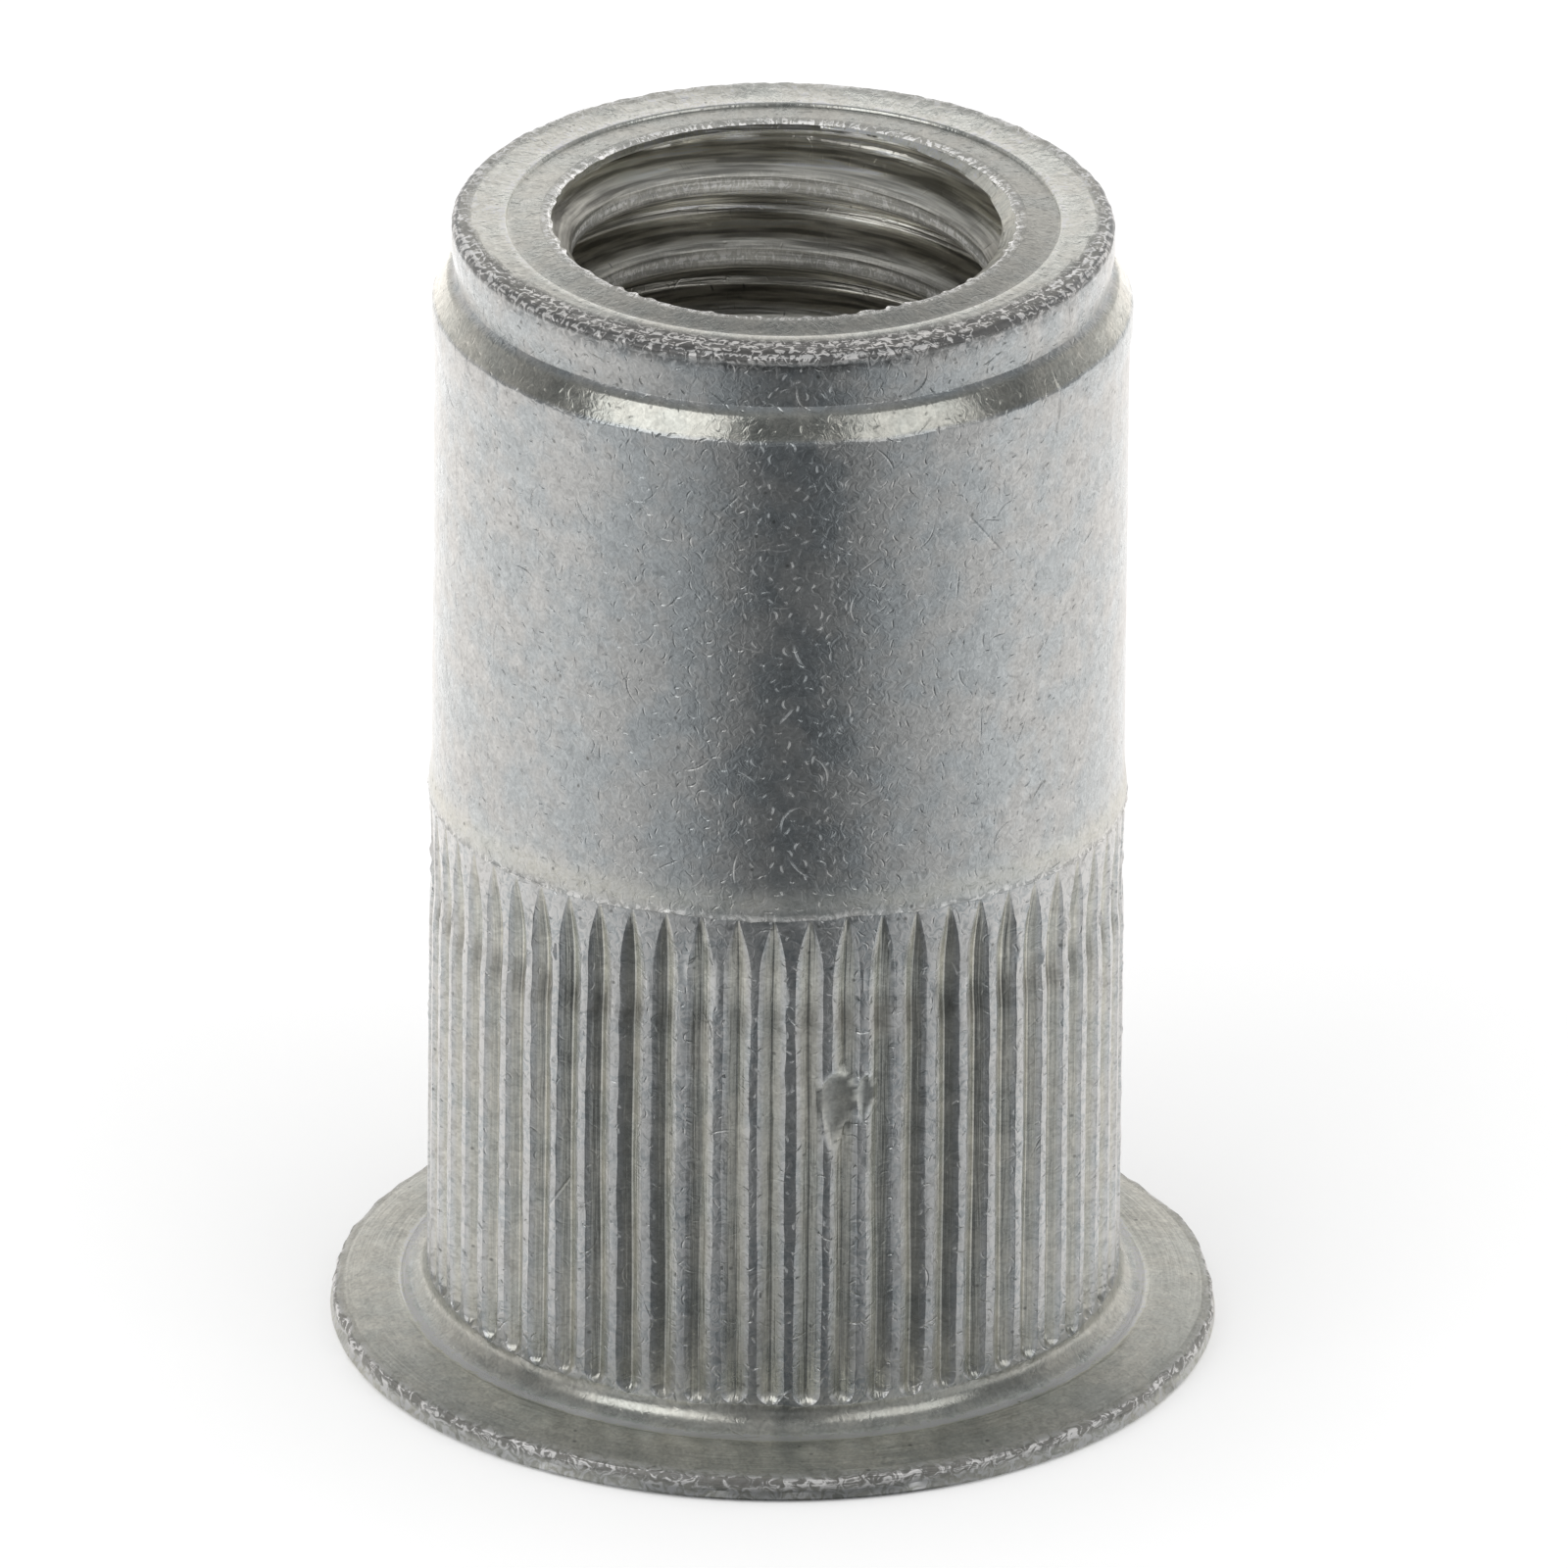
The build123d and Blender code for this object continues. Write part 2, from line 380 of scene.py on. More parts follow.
def thread_section(phase):
    """A thread's depth outward over one pitch: a flat crest about phase 0 and, half a pitch away, a
    short flat root, with an eased flank from 0.1 to 0.46 of a pitch between them."""
    away = np.abs(np.mod(phase + 0.5, 1) - 0.5)
    return THREAD_DEPTH * ease(0.1, 0.46, away)


def bore_radius(turn, height, phase):
    """The bore's radius: the larger of the thread's, which runs out at its foot and is held back
    under the mouth, and the countersink's cone."""
    below = MOUTH_Z - height
    wear = 0.012 * lumps(turn, height, 70, 0.16, 17)
    depth = (thread_section(phase) + wear) * ease(0, 1, height - THREAD_FOOT_Z)
    mouth = MOUTH_R - THREAD_R
    depth = np.minimum(depth, mouth + 1.6 * np.clip(below - 0.12, 0, 1))
    return THREAD_R + np.maximum(depth, mouth * (1 - below / COUNTERSINK))


def bore_skin():
    """The threaded bore: level rows through the countersink, then a sheared grid in which each row
    climbs one pitch a turn, so that its points follow the crests. Heights past either end are held
    there, and the last turn's edge falls on the first's."""
    share = np.arange(BORE_COLUMNS + 1)[None, :] / BORE_COLUMNS
    mouth = np.linspace(MOUTH_Z, THREAD_TOP_Z, 21)[:, None] + 0 * share
    steps = np.array([-0.11, 0.0, 0.11, 0.19, 0.29, 0.4, 0.5, 0.6, 0.71, 0.81])
    turns_high = int(np.ceil((LENGTH - THREAD_FOOT_Z) / PITCH)) + 2
    start = CREST_Z - PITCH * (turns_high - 0.75)
    lead = (np.arange(turns_high + 1)[:, None] + steps[None, :]).reshape(-1)[::-1, None]
    climb = np.clip(start + PITCH * (lead + share), THREAD_FOOT_Z, THREAD_TOP_Z)
    height = np.concatenate([mouth, climb])
    turn = 2 * np.pi * share + 0 * height
    phase = (height - start) / PITCH - share
    crest = bell(0, 0.1, np.mod(phase + 0.5, 1) - 0.5) * ease(18.55, 18.4, height)
    along = LENGTH - height + PITCH * share
    return bore_radius(turn, height, phase), turn, height, along, crest


def chamber_skin():
    """The plain chamber under the thread, as rows round the axis down to the outer face."""
    radius, height = np.array(CHAMBER_ROWS).T[:, :, None]
    turn = 2 * np.pi * np.arange(BORE_COLUMNS + 1)[None, :] / BORE_COLUMNS
    level = 0 * turn
    return radius + level, turn + 0 * radius, height + level, LENGTH + PITCH - height + level


def around_body(turn, closed):
    """Millimetres round the body, outside from the front and inside the bore from the back, so that
    the map's seam is on the far side of each."""
    return np.angle(np.exp(1j * (turn + (np.pi / 2 if closed else -np.pi / 2)))) * BODY_R


def distance_along(rows):
    """Millimetres along the rows of a profile from its first."""
    return np.concatenate([[0], np.cumsum(np.hypot(*np.diff(rows, axis=0).T))])


def close_round(corners):
    """Faces that cross the back get the far side's place for all their corners."""
    u = corners[:, :, 0]
    wraps = (u.max(axis=1) - u.min(axis=1) > np.pi * BODY_R)[:, None] & (u < 0)
    corners[:, :, 0] = np.where(wraps, u + 2 * np.pi * BODY_R, u)
    return corners


def to_points(radius, turn, height):
    """Points in metres from radius, turn and height."""
    x, y = radius * np.cos(turn), radius * np.sin(turn)
    return np.stack([x, y, height], axis=-1).reshape(-1, 3) * MM


def grid_faces(rows, columns, first, closed):
    """Quads between neighbouring rows and columns, wound so that they face out of the wall."""
    i = np.arange(rows - 1)[:, None]
    j = np.arange(columns if closed else columns - 1)[None, :]
    low, high = i * columns, (i + 1) * columns
    beside = (j + 1) % columns
    quads = np.stack([low + j, low + beside, high + beside, high + j], axis=-1)
    return first + quads.reshape(-1, 4)


def ring_stitch(lower, lower_turn, upper, upper_turn):
    """Triangles between two rings of different counts: both are walked round by turn, and each step
    along either ring makes one triangle with the vertex reached on the other."""
    rings = []
    for ring, turn in ((lower, lower_turn), (upper, upper_turn)):
        order = np.argsort(np.mod(turn, 2 * np.pi), kind="stable")
        at = np.mod(turn, 2 * np.pi)[order]
        middle = at + np.mod(np.roll(at, -1) - at, 2 * np.pi) / 2
        rings.append((ring[order], np.roll(ring[order], -1), middle))
    (a, next_a, middle_a), (b, next_b, middle_b) = rings
    held_b = b[np.searchsorted(middle_b, middle_a) % len(b)]
    held_a = a[np.searchsorted(middle_a, middle_b) % len(a)]
    from_lower = np.stack([a, next_a, held_b], axis=-1)
    from_upper = np.stack([next_b, b, held_a], axis=-1)
    return np.concatenate([from_lower, from_upper])


def weld(points, faces):
    """Finds points that fall on the same tenth of a micrometre and drops faces that collapse: which
    points stay, where each went, and the quads and triangles that are left, by the old numbers."""
    keys = np.round(points * 1e7).astype(np.int64)
    _, first, inverse = np.unique(keys, axis=0, return_index=True, return_inverse=True)
    inverse = inverse.reshape(-1)
    same = np.roll(inverse[faces], -1, axis=1) == inverse[faces]
    once = same.sum(axis=1) == 1
    return first, inverse, faces[~same.any(axis=1)], faces[once][~same[once]].reshape(-1, 3)


def fill_mesh(mesh, points, quads, triangles):
    """Puts points, quads and triangles into an empty mesh as whole arrays."""
    loops = np.concatenate([quads.reshape(-1), triangles.reshape(-1)]).astype(np.int32)
    sizes = np.concatenate([np.full(len(quads), 4), np.full(len(triangles), 3)]).astype(np.int32)
    starts = np.concatenate([[0], np.cumsum(sizes)[:-1]]).astype(np.int32)
    mesh.vertices.add(len(points))
    mesh.vertices.foreach_set("co", points.astype(np.float32).reshape(-1))
    mesh.loops.add(len(loops))
    mesh.loops.foreach_set("vertex_index", loops)
    mesh.polygons.add(len(sizes))
    mesh.polygons.foreach_set("loop_start", starts)
    mesh.update(calc_edges=True)


def skin_grids():
    """Every grid of the skin in order from the outer face over the outside into the bore and down
    to the outer face: radius, turn, height, millimetres along, shares for the finish, and whether
    the grid closes on itself. Along is made to equal the height on the shank."""
    parts = outer_parts()
    along = distance_along(np.concatenate(parts))
    along = along - along[len(parts[0]) + len(parts[1])] + parts[2][0, 1]
    groove = np.tile(np.concatenate([DEEP, np.full(len(ON_LAND), LAND_RISE)]), GROOVES)
    grids = []
    first = 0
    for rows, columns in zip(parts, (PLAIN_COLUMNS, COLUMNS, PLAIN_COLUMNS, COLUMNS)):
        if rows is parts[1]:
            turn, section = groove_turns(rows[:, :1], rows[:, 1:]), groove
        else:
            turn, section = even_turns(rows[:, 1:], columns), np.zeros(columns)
        radius, height, *marks = wall(rows, turn, section)
        distance = along[first : first + len(rows), None] + 0 * turn
        first += len(rows)
        grids.append((radius, turn, height, distance, wall_finish(rows, turn, *marks), True))
    *bore, crest = bore_skin()
    radius, turn, height, distance = (np.concatenate(pair) for pair in zip(bore, chamber_skin()))
    crest = np.concatenate([crest, 0 * height[len(crest):]])
    finish = bore_finish(turn, height, crest)
    grids.append((radius, turn, height, along[-1] + distance, finish, False))
    return grids


def make_nut():
    """The whole nut as one closed skin: its grids, with stitches from each to the next."""
    grids = skin_grids()
    faces, ends, first = [], [], 0
    for radius, turn, _, _, _, closed in grids:
        rows, columns = radius.shape
        faces.append(grid_faces(rows, columns, first, closed))
        ring = np.arange(columns if closed else columns - 1)
        last = first + (rows - 1) * columns
        ends.append((first + ring, turn[0, ring], last + ring, turn[-1, ring]))
        first += rows * columns
    stitches = []
    for (_, _, last, last_turn), (begin, begin_turn, _, _) in zip(ends, ends[1:] + ends[:1]):
        stitches.append(ring_stitch(last, last_turn, begin, begin_turn))
    points = np.concatenate([to_points(*grid[:3]) for grid in grids])
    place = np.concatenate([
        np.stack([around_body(turn, closed), distance], axis=-1).reshape(-1, 2)
        for _, turn, _, distance, _, closed in grids
    ])
    shares = np.concatenate([grid[4] for grid in grids])
    kept, moved, quads, triangles = weld(points, np.concatenate(faces))
    triangles = np.concatenate([triangles, *stitches])
    mesh = bpy.data.meshes.new("rivet_nut_skin")
    fill_mesh(mesh, points[kept], moved[quads], moved[triangles])
    unrolled = mesh.uv_layers.new(name="unrolled")
    corners = [close_round(place[sides]).reshape(-1, 2) for sides in (quads, triangles)]
    unrolled.data.foreach_set("uv", np.concatenate(corners).astype(np.float32).reshape(-1))
    for column, name in enumerate(FINISH):
        attribute = mesh.attributes.new(name, "FLOAT", "POINT")
        attribute.data.foreach_set("value", shares[kept, column].astype(np.float32))
    mesh.shade_smooth()
    mesh.set_sharp_from_angle(angle=math.radians(25))
    soften_dent(mesh, shares[kept, FINISH.index("smooth")])
    nut = bpy.data.objects.new("rivet_nut_plated", mesh)
    bpy.context.scene.collection.objects.link(nut)
    return nut


def soften_dent(mesh, smooth):
    """Takes the sharp mark off edges inside the dent."""
    count = len(mesh.edges)
    ends, sharp = np.zeros(2 * count, np.int32), np.zeros(count, bool)
    mesh.edges.foreach_get("vertices", ends)
    mesh.edges.foreach_get("use_edge_sharp", sharp)
    dented = (smooth[ends.reshape(-1, 2)] > 0.85).all(axis=1)
    mesh.edges.foreach_set("use_edge_sharp", sharp & ~dented)


def wall_zones(r, z, phi, cleft):
    """Where the outside's zones lie, each as a share from 0 to 1 made of eased steps in the
    profile's radius and height."""
    top = ease(18.88, 18.9, z) * (r < 5.1)
    front = np.clip(np.cos(phi), 0, 1)
    knurl = ease(0.88, 0.95, z) * (1 - ease(9.3, 9.38, z))
    return SimpleNamespace(
        front=front,
        left=np.clip(-np.sin(phi), 0, 1) ** 2,
        side=np.abs(np.sin(phi)),
        flange=ease(5.6, 5.9, r),
        rim=ease(6.86, 6.97, r),
        rim_burr=ease(6.93, 6.98, r) * ease(0.18, 0.28, z),
        # The hollow's outer edge, which is painted as a highlight ring, more at the front
        root_edge_highlight=bell(5.83, 0.11, r) * (z < 0.7),
        hollow=ease(0.5, 0.6, z) * (1 - ease(0.9, 0.95, z)),
        knurl=knurl,
        in_groove=knurl * ease(0.1, 0.5, cleft),
        land=knurl * (1 - ease(0.05, 0.3, cleft)),
        ridge=ease(9.37, 9.39, z) * (1 - ease(9.43, 9.47, z)),
        flare=bell(9.66, 0.22, z) * (z > 9.38),
        cone=ease(17.6, 17.64, z) * (1 - ease(17.98, 18.05, z)),
        # Under the lip at the front: torn flecks, and painted shade
        under_lip_torn_and_shade=bell(18.78, 0.08, z) * (r > 5.1) * front**2,
        crest=ease(4.9 - 0.4 * front, 5.0 - 0.4 * front, r) * ease(18.82, 18.9, z),
        top=top,
        outer_ring=top * ease(4.32, 4.36, r),
        # The bead by the crease, painted as a highlight, more at the front
        bead_highlight=top * bell(4.39, 0.05, r),
        inner_ring=top * (r < 4.34),
        mouth_edge=top * (1 - ease(3.72, 3.82, r)),
    )


def wall_finish(rows, turn, cleft, smear, brim):
    """Shares for the finish of the outside, point by point, in the order of FINISH: scuffed, torn,
    tinted, with turned or drawn lines, dull, rougher by, a factor of painted light and shade on the
    colour, smooth, matt."""
    r, z = rows[:, :1] + 0 * turn, rows[:, 1:] + 0 * turn
    phi = turn + np.pi / 2
    at = wall_zones(r, z, phi, cleft)
    # In the grooves: a painted highlight above the waist and painted shade at its bend
    painted_waist_band = 0.25 * bell(8.25, 0.33, z) - 0.34 * bell(7.55, 0.26, z)
    shares = {
        "scuffed": most(at.land * (1 - smear), at.rim, 0.5 * at.flare),
        "torn": most(
            (0.6 + 0.3 * np.cos(phi)) * at.crest, 0.6 * at.mouth_edge, 0.6 * at.under_lip_torn_and_shade,
            0.35 * at.ridge, 0.7 * at.rim_burr,
        ),
        "tinted": most(
            at.in_groove, at.flange, 0.8 * at.top, at.cone, at.hollow, 0.8 * at.flare, 0.7 * smear,
        ),
        "turned": most(
            at.flange * (1 - at.rim), 0.4 * at.top, at.crest, at.mouth_edge, at.rim_burr,
        ),
        "drawn": at.in_groove * (1 - smear),
        "dull": 0 * z,
        "rough": 0.2 * at.rim + 0.17 * at.flare + 0.15 * at.crest + 0.1 * at.mouth_edge
        + 0.04 * at.land * (1 - smear) - 0.06 * at.cone + 0.12 * smear + 0.2 * brim
        + 0.12 * at.flange * (1 - at.rim),
        # Painted light and shade: the outer ring lighter behind and darker in front, the inner ring
        # lighter on the left and darker in front, painted highlights on the bead, the mouth's edge,
        # the hollow's edge, the flare and the dent's brim, a painted sheen on the flange at left
        # and right, painted shade under the lip, painted light and shade about the waist in the
        # grooves, and small lifts on the knurl, the cone and the dent
        "painted_light_factor": 1 + (0.5 - 0.6 * at.front) * at.outer_ring + (0.2 + 0.5 * at.front) * at.bead_highlight
        + 0.7 * at.mouth_edge + (0.34 * at.left - 0.06 - 0.32 * at.front) * at.inner_ring
        + (0.26 * at.side**4 - 0.06) * at.flange + (0.75 + 0.6 * at.front) * at.root_edge_highlight
        - 0.35 * at.under_lip_torn_and_shade + at.in_groove * painted_waist_band + 0.06 * at.knurl
        + 0.02 * at.cone + 0.34 * at.flare + 0.16 * smear + 0.5 * brim,
        "smooth": most(
            0.65 * at.in_groove, smear, 0.55 * at.cone, 0.5 * at.top, 0.8 * at.flange,
            0.7 * at.hollow,
        ),
        "matt": most(
            0.2 * at.crest, 0.45 * at.mouth_edge, 0.25 * at.ridge, 0.3 * at.rim_burr, 0.2 * brim,
        ),
    }
    return in_order(shares)


def bore_finish(turn, height, crest):
    """Shares for the finish of the bore and chamber: dull and streaked, with rough pale crests, and
    painted light and shade: a painted highlight on the countersink, the far wall painted paler than
    the sides, and painted shade further down."""
    sink = ease(18.62, 18.7, height)
    # The far wall, which is painted lighter
    far = np.clip(np.sin(turn), 0, 1)
    whole = 0 * height + 1
    shares = {
        "scuffed": crest, "torn": 0.3 * crest, "tinted": whole, "turned": whole,
        "drawn": 0 * height, "dull": (1 - sink) * (1 - 0.7 * crest), "rough": 0.06 + 0.25 * crest,
        # Painted light and shade: lighter on the far wall and in the countersink, darker further
        # down
        "painted_light_factor": 0.84 + 0.62 * far + 0.35 * sink - 0.3 * ease(17.6, 16.5, height),
        "smooth": 0.5 * whole, "matt": 0.7 * crest,
    }
    return in_order(shares)


def most(*shares):
    """The largest of several shares at each point."""
    return np.maximum.reduce(shares)


def in_order(shares):
    """Named grids of shares as one table: a row for each point, a column for each of FINISH."""
    return np.stack([shares[name].reshape(-1) for name in FINISH], axis=-1)


def node(tree, kind, links=(), **settings):
    """Adds a node, sets its fields, and links or fills its inputs by name or number."""
    made = tree.nodes.new(kind)
    for name, value in settings.items():
        setattr(made, name, value)
    for slot, value in dict(links).items():
        if isinstance(value, bpy.types.NodeSocket):
            tree.links.new(value, made.inputs[slot])
        else:
            made.inputs[slot].default_value = value
    return made


def maths(tree, operation, *values):
    """One Math node."""
    return node(tree, "ShaderNodeMath", enumerate(values), operation=operation).outputs[0]


def times(tree, first, second):
    """Two values multiplied."""
    return maths(tree, "MULTIPLY", first, second)


def size_of(tree, value):
    """A value without its sign."""
    return maths(tree, "ABSOLUTE", value)


def vectors(tree, operation, first, second):
    """One Vector Math node on two vectors."""
    made = node(tree, "ShaderNodeVectorMath", {0: first, 1: second}, operation=operation)
    return made.outputs[0]


def scaled(tree, colour, factor):
    """A colour times a value."""
    made = node(tree, "ShaderNodeVectorMath", {0: colour, 3: factor}, operation="SCALE")
    return made.outputs[0]


def between(tree, value, low, high, to_low=0.0, to_high=1.0):
    """A value mapped from one range to another, and held at its ends."""
    limits = {0: value, 1: low, 2: high, 3: to_low, 4: to_high}
    return node(tree, "ShaderNodeMapRange", limits).outputs[0]


def blended(tree, share, first, second):
    """Two colours mixed by a share."""
    made = node(tree, "ShaderNodeMix", {0: share, 6: first, 7: second}, data_type="RGBA")
    return made.outputs[2]


def noise(tree, place, scale, detail=2.0, roughness=0.5, bend=0.0):
    """A flat Noise texture's value, about 0.5 in the middle."""
    links = {
        "Vector": place, "Scale": scale, "Detail": detail, "Roughness": roughness,
        "Distortion": bend,
    }
    return node(tree, "ShaderNodeTexNoise", links, noise_dimensions="2D").outputs[0]


def scratches(tree, place, scale, length, width, share):
    """Short scratches: in some cells of a flat Voronoi pattern, a slightly curved line through the
    cell's point in a direction that the cell's colour picks, fading across and towards its ends.
    Also gives dark spots in a few cells."""
    links = {"Vector": place, "Scale": scale}
    cell = node(tree, "ShaderNodeTexVoronoi", links, voronoi_dimensions="2D")
    offset = vectors(tree, "SUBTRACT", place, cell.outputs["Position"])
    u, v, _ = node(tree, "ShaderNodeSeparateXYZ", {0: offset}).outputs
    pick, chance, curve = node(tree, "ShaderNodeSeparateColor", {0: cell.outputs["Color"]}).outputs
    way = times(tree, pick, 2 * math.pi)
    cosine, sine = maths(tree, "COSINE", way), maths(tree, "SINE", way)
    along = maths(tree, "ADD", times(tree, u, cosine), times(tree, v, sine))
    across = maths(tree, "SUBTRACT", times(tree, v, cosine), times(tree, u, sine))
    bow = times(tree, times(tree, along, along), 1.2 / length)
    across = maths(tree, "MULTIPLY_ADD", bow, maths(tree, "SUBTRACT", curve, 0.5), across)
    reach = maths(tree, "MULTIPLY_ADD", curve, 0.7 * length, 0.3 * length)
    thin = between(tree, size_of(tree, across), 0.0, width, 1.0, 0.0)
    ends = between(tree, maths(tree, "DIVIDE", size_of(tree, along), reach), 0.4, 1.0, 1.0, 0.0)
    line = times(tree, times(tree, thin, ends), maths(tree, "LESS_THAN", chance, share))
    close = between(tree, cell.outputs["Distance"], 0.06, 0.16, 1.0, 0.0)
    return line, times(tree, close, maths(tree, "GREATER_THAN", chance, 0.975))


def one_scratch(tree, place, angle, height, lean, length, width):
    """A long scratch on the body at this angle and height, leaning from upright."""
    offset = vectors(tree, "SUBTRACT", place, (math.radians(angle) * BODY_R, height, 0))
    tilt = (0, 0, math.radians(lean))
    turned = node(tree, "ShaderNodeMapping", {0: offset, 2: tilt}).outputs[0]
    across, along, _ = node(tree, "ShaderNodeSeparateXYZ", {0: turned}).outputs
    thin = between(tree, size_of(tree, across), 0.0, width, 1.0, 0.0)
    ends = between(tree, size_of(tree, along), 0.3 * length, 0.5 * length, 1.0, 0.0)
    return times(tree, thin, ends)


def empty_tree(owner):
    """The node tree of a material or world, cleared."""
    owner.use_nodes = True
    owner.node_tree.nodes.clear()
    return owner.node_tree


def zinc_plating():
    """Bright zinc on cold-formed steel: cool grey, warmer in the hollows, with fine curling
    wrinkles and random short scratches, scuffed pale on the high spots, torn on the lip, drawn
    lines in the grooves, turned lines on the flange and streaks inside the thread. Its colour also
    carries painted light and shade, read from an attribute of the skin's points."""
    made = bpy.data.materials.new("zinc_plating")
    tree = empty_tree(made)
    share = {
        name: node(tree, "ShaderNodeAttribute", attribute_name=name).outputs["Fac"]
        for name in FINISH
    }
    place = node(tree, "ShaderNodeUVMap", uv_map="unrolled").outputs[0]
    stretch = blended(tree, share["turned"], DRAWN_LINES, TURNED_LINES)
    fine, specks = scratches(tree, place, scale=4.0, length=0.1, width=0.02, share=0.7)
    coarse, _ = scratches(tree, place, scale=1.1, length=0.34, width=0.022, share=0.6)
    stretched = vectors(tree, "MULTIPLY", place, stretch)
    pattern = SimpleNamespace(
        mottle=noise(tree, place, scale=1.0, detail=4.0, roughness=0.6),
        cloud=noise(tree, place, scale=3.2),
        curl=noise(tree, place, scale=7.0, roughness=0.65, bend=0.9),
        grain=noise(tree, place, scale=19.0, detail=1.0),
        lines=noise(tree, stretched, scale=1.0, roughness=0.6),
        strokes=maths(tree, "ADD", fine, coarse),
        specks=specks,
    )
    rough = between(tree, pattern.mottle, 0.3, 0.7, 0.23, 0.34)
    relief = plating_relief(tree, share, pattern, place)
    bump = node(tree, "ShaderNodeBump", {"Strength": 1.0, "Distance": MM, "Height": relief})
    shader = node(tree, "ShaderNodeBsdfPrincipled", {
        "Base Color": plating_colour(tree, share, pattern),
        "Metallic": maths(tree, "SUBTRACT", 1.0, share["matt"]),
        "Roughness": maths(tree, "ADD", rough, share["rough"]),
        "Normal": bump.outputs[0],
    })
    output = node(tree, "ShaderNodeOutputMaterial")
    tree.links.new(shader.outputs[0], output.inputs[0])
    return made


def plating_colour(tree, share, pattern):
    """The zinc's colour: patches of two tints, darkened at random by the grain, and by painted
    light and shade from the skin's attribute; then scuffs, the streaks of the dull bore and the
    flecks of the torn edges, the last two under the same painted light and shade, and specks, each
    over the last."""
    patch = between(tree, pattern.mottle, 0.4, 0.6)
    cool, warm = blended(tree, patch, *COOL_ZINC), blended(tree, patch, *WARM_ZINC)
    colour = blended(tree, share["tinted"], cool, warm)
    shade = maths(tree, "MULTIPLY_ADD", pattern.curl, 0.6, 0.38)
    shade = maths(tree, "MULTIPLY_ADD", pattern.grain, 0.35, shade)
    shade = maths(tree, "MULTIPLY_ADD", pattern.cloud, 0.29, shade)
    colour = scaled(tree, colour, times(tree, shade, share["painted_light_factor"]))
    worn = between(tree, pattern.curl, 0.42, 0.6)
    colour = blended(tree, times(tree, share["scuffed"], worn), colour, SCUFFED_ZINC)
    streaks = blended(tree, between(tree, pattern.lines, 0.36, 0.64), *THREAD_STREAKS)
    colour = blended(tree, share["dull"], colour, scaled(tree, streaks, share["painted_light_factor"]))
    ragged = maths(tree, "MULTIPLY_ADD", pattern.curl, 1.4, times(tree, pattern.lines, 0.6))
    flecks = blended(tree, between(tree, ragged, 1.0, 1.13), *TORN_FLECKS)
    colour = blended(tree, share["torn"], colour, scaled(tree, flecks, share["painted_light_factor"]))
    return blended(tree, times(tree, pattern.specks, 0.7), colour, SPECK)


def plating_relief(tree, share, pattern, place):
    """The zinc's height in millimetres: wrinkles, less on smooth places, turned and drawn lines,
    short scratches and the long ones."""
    wrinkle = between(tree, share["smooth"], 0.0, 1.0, WRINKLE, SMOOTH_WRINKLE)
    height = times(tree, pattern.curl, wrinkle)
    drawn = times(tree, share["drawn"], DRAWN_LINE)
    lined = maths(tree, "MULTIPLY_ADD", share["turned"], TURNED_LINE, drawn)
    height = maths(tree, "MULTIPLY_ADD", pattern.lines, lined, height)
    kept = between(tree, share["smooth"], 0.0, 0.8, 1.0, 0.1)
    strokes = times(tree, times(tree, pattern.strokes, SHORT_SCRATCH), kept)
    height = maths(tree, "ADD", height, strokes)
    for scratch in SCRATCHES:
        line = one_scratch(tree, place, *scratch)
        height = maths(tree, "MULTIPLY_ADD", line, LONG_SCRATCH, height)
    return height


def ramp(tree, value, stops):
    """A colour ramp of greys from pairs of place and level, the dark ones a little blue."""
    made = node(tree, "ShaderNodeValToRGB", {0: value})
    band = made.color_ramp
    while len(band.elements) < len(stops):
        band.elements.new(0.5)
    for element, (at, level) in zip(band.elements, stops):
        element.position = at
        white = min(level, 1)
        element.color = (level * (0.95 + 0.08 * white), level, level * (1.045 - 0.065 * white), 1)
    return made.outputs[0]


def pale_floor():
    """A round floor of white board, a fan of triangles about its middle. The camera sees it lit,
    with the nut's shadow, and the metal sees it white behind and beside, darker towards the front
    of the studio."""
    sides = 96
    at = np.arange(sides)
    turn = 2 * np.pi * at / sides
    edge = np.stack([np.cos(turn), np.sin(turn), 0 * turn], axis=1)
    points = np.concatenate([[[0, 0, 0]], edge])
    points[:, 2] = -0.02 * MM
    faces = np.stack([0 * at, 1 + at, 1 + (at + 1) % sides], axis=1)
    mesh = bpy.data.meshes.new("floor_board")
    fill_mesh(mesh, points, np.zeros((0, 4), int), faces)
    floor = bpy.data.objects.new("floor_board", mesh)
    bpy.context.scene.collection.objects.link(floor)
    mesh.materials.append(floor_white())


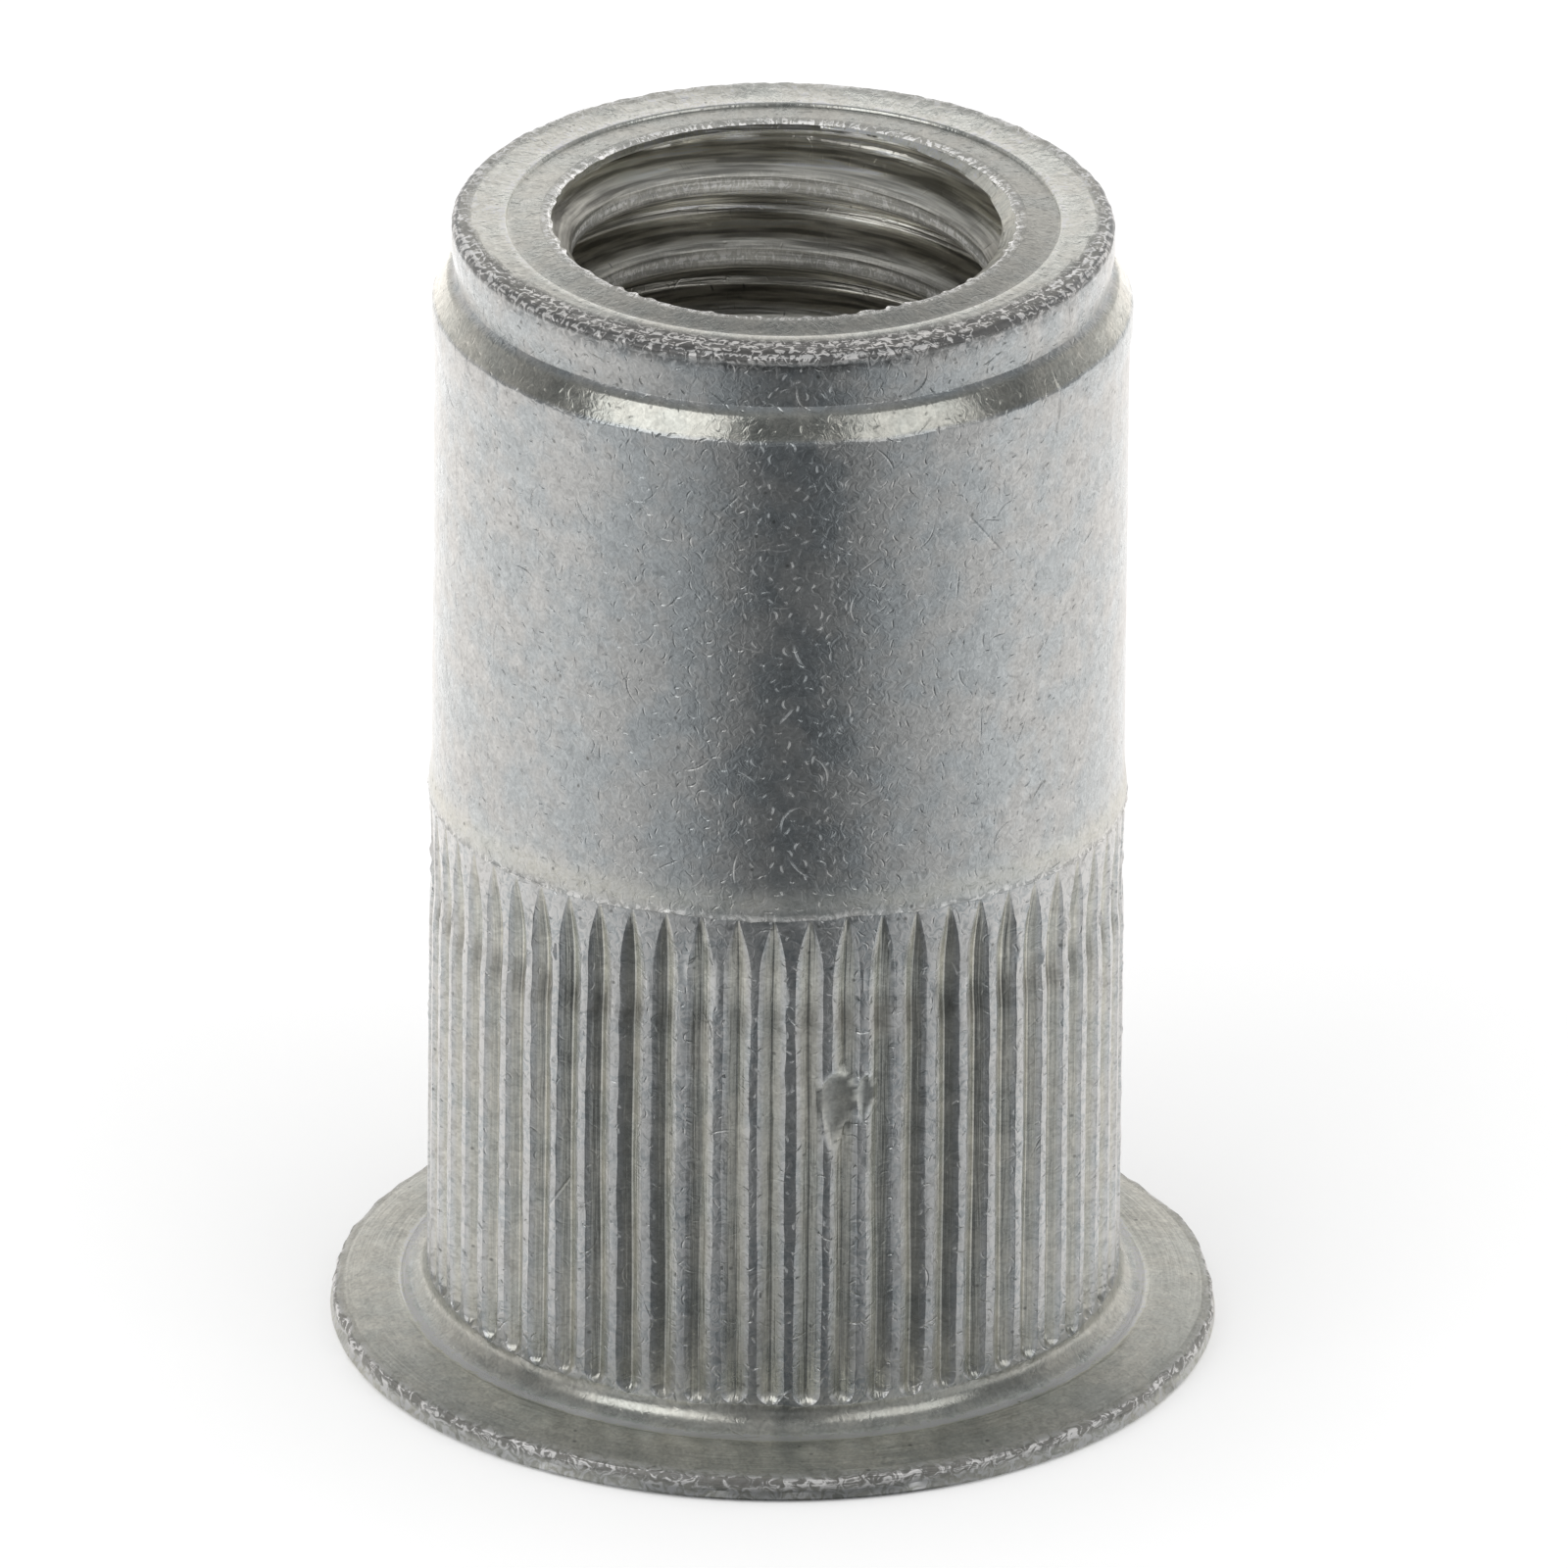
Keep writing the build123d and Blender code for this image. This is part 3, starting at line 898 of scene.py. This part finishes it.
def floor_white():
    """White board with a faint glow. A mirrored ray sees instead a grey that goes by the direction
    from the nut, from the front of the floor to the back."""
    made = bpy.data.materials.new("floor_white")
    tree = empty_tree(made)
    place = node(tree, "ShaderNodeTexCoord").outputs["Object"]
    lean = (0, 0, math.radians(-4))
    turned = node(tree, "ShaderNodeMapping", {0: place, 2: lean}).outputs[0]
    flat = vectors(tree, "MULTIPLY", turned, (1, 1, 0))
    unit = node(tree, "ShaderNodeVectorMath", {0: flat}, operation="NORMALIZE").outputs[0]
    back = node(tree, "ShaderNodeSeparateXYZ", {0: unit}).outputs[1]
    grey = ramp(tree, maths(tree, "MULTIPLY_ADD", back, 0.5, 0.5), FLOOR_STOPS)
    seen = node(tree, "ShaderNodeEmission", {0: grey, 1: 1.0})
    board = node(tree, "ShaderNodeBsdfDiffuse", {0: (0.93, 0.93, 0.93, 1)})
    glow = node(tree, "ShaderNodeEmission", {0: (1, 1, 1, 1), 1: 0.08})
    lit = node(tree, "ShaderNodeAddShader", {0: board.outputs[0], 1: glow.outputs[0]})
    path = node(tree, "ShaderNodeLightPath").outputs
    mirrored = maths(tree, "MAXIMUM", path["Is Glossy Ray"], path["Is Transmission Ray"])
    mixed = node(tree, "ShaderNodeMixShader", {0: mirrored, 1: lit.outputs[0], 2: seen.outputs[0]})
    output = node(tree, "ShaderNodeOutputMaterial")
    tree.links.new(mixed.outputs[0], output.inputs[0])
    return made


def studio_air():
    """The room round the nut: white to the camera, and for the metal paler low down behind, darker
    above and in front."""
    world = bpy.data.worlds.new("studio_air")
    bpy.context.scene.world = world
    tree = empty_tree(world)
    way = node(tree, "ShaderNodeTexCoord").outputs["Generated"]
    _, y, z = node(tree, "ShaderNodeSeparateXYZ", {0: way}).outputs
    behind = between(tree, y, -0.15, 0.95)
    grey = blended(tree, behind, ramp(tree, z, FRONT_STOPS), ramp(tree, z, BACK_STOPS))
    path = node(tree, "ShaderNodeLightPath").outputs
    plain = maths(tree, "MAXIMUM", path["Is Camera Ray"], path["Is Diffuse Ray"])
    colour = blended(tree, plain, grey, (1, 1, 1, 1))
    background = node(tree, "ShaderNodeBackground", {0: colour, 1: 1.0})
    output = node(tree, "ShaderNodeOutputWorld")
    tree.links.new(background.outputs[0], output.inputs[0])


def soft_box(name, azimuth, elevation, distance, width, height, level):
    """A rectangular lamp aimed at the nut, whose face has the given brightness."""
    light = bpy.data.lights.new(name, "AREA")
    light.shape = "RECTANGLE"
    light.size, light.size_y = width, height
    light.energy = level * math.pi * width * height
    lamp = bpy.data.objects.new(name, light)
    a, e = math.radians(azimuth), math.radians(elevation)
    way = Vector((math.sin(a) * math.cos(e), -math.cos(a) * math.cos(e), math.sin(e)))
    lamp.location = way * distance
    lamp.rotation_euler = way.to_track_quat("Z", "Y").to_euler()
    bpy.context.scene.collection.objects.link(lamp)


def photo_camera():
    """A long lens 0.8 m away, 25.4 degrees above the floor and turned by half a degree."""
    lens = bpy.data.cameras.new("camera")
    lens.sensor_width = 36
    lens.lens = FOCAL_PX / FRAME_PX * lens.sensor_width
    lens.clip_end = 10
    camera = bpy.data.objects.new("camera", lens)
    side = Vector((1, 0, 0))
    up = Vector((0, math.sin(CAMERA_RISE), math.cos(CAMERA_RISE)))
    back = Vector((0, -math.cos(CAMERA_RISE), math.sin(CAMERA_RISE)))
    right = side * math.cos(CAMERA_ROLL) - up * math.sin(CAMERA_ROLL)
    over = side * math.sin(CAMERA_ROLL) + up * math.cos(CAMERA_ROLL)
    aim = Vector((0, 0, VIEW_HEIGHT))
    aim = aim + side * (OFF_RIGHT_PX / PX_PER_MM) - up * (OFF_DOWN_PX / PX_PER_MM)
    turn = Matrix((right, over, back)).transposed().to_4x4()
    camera.matrix_world = Matrix.Translation((aim + back * CAMERA_AWAY) * MM) @ turn
    bpy.context.scene.collection.objects.link(camera)
    bpy.context.scene.camera = camera


photo_camera()
studio_air()
pale_floor()
soft_box("left_box", azimuth=-43, elevation=31, distance=0.5, width=0.36, height=0.3, level=1.25)
soft_box("right_box", azimuth=46, elevation=31, distance=0.5, width=0.32, height=0.3, level=0.85)

nut = make_nut()
nut.data.materials.append(zinc_plating())
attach(nut, "root")
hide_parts("rivet_nut")

bpy.context.scene.view_settings.view_transform = "Standard"
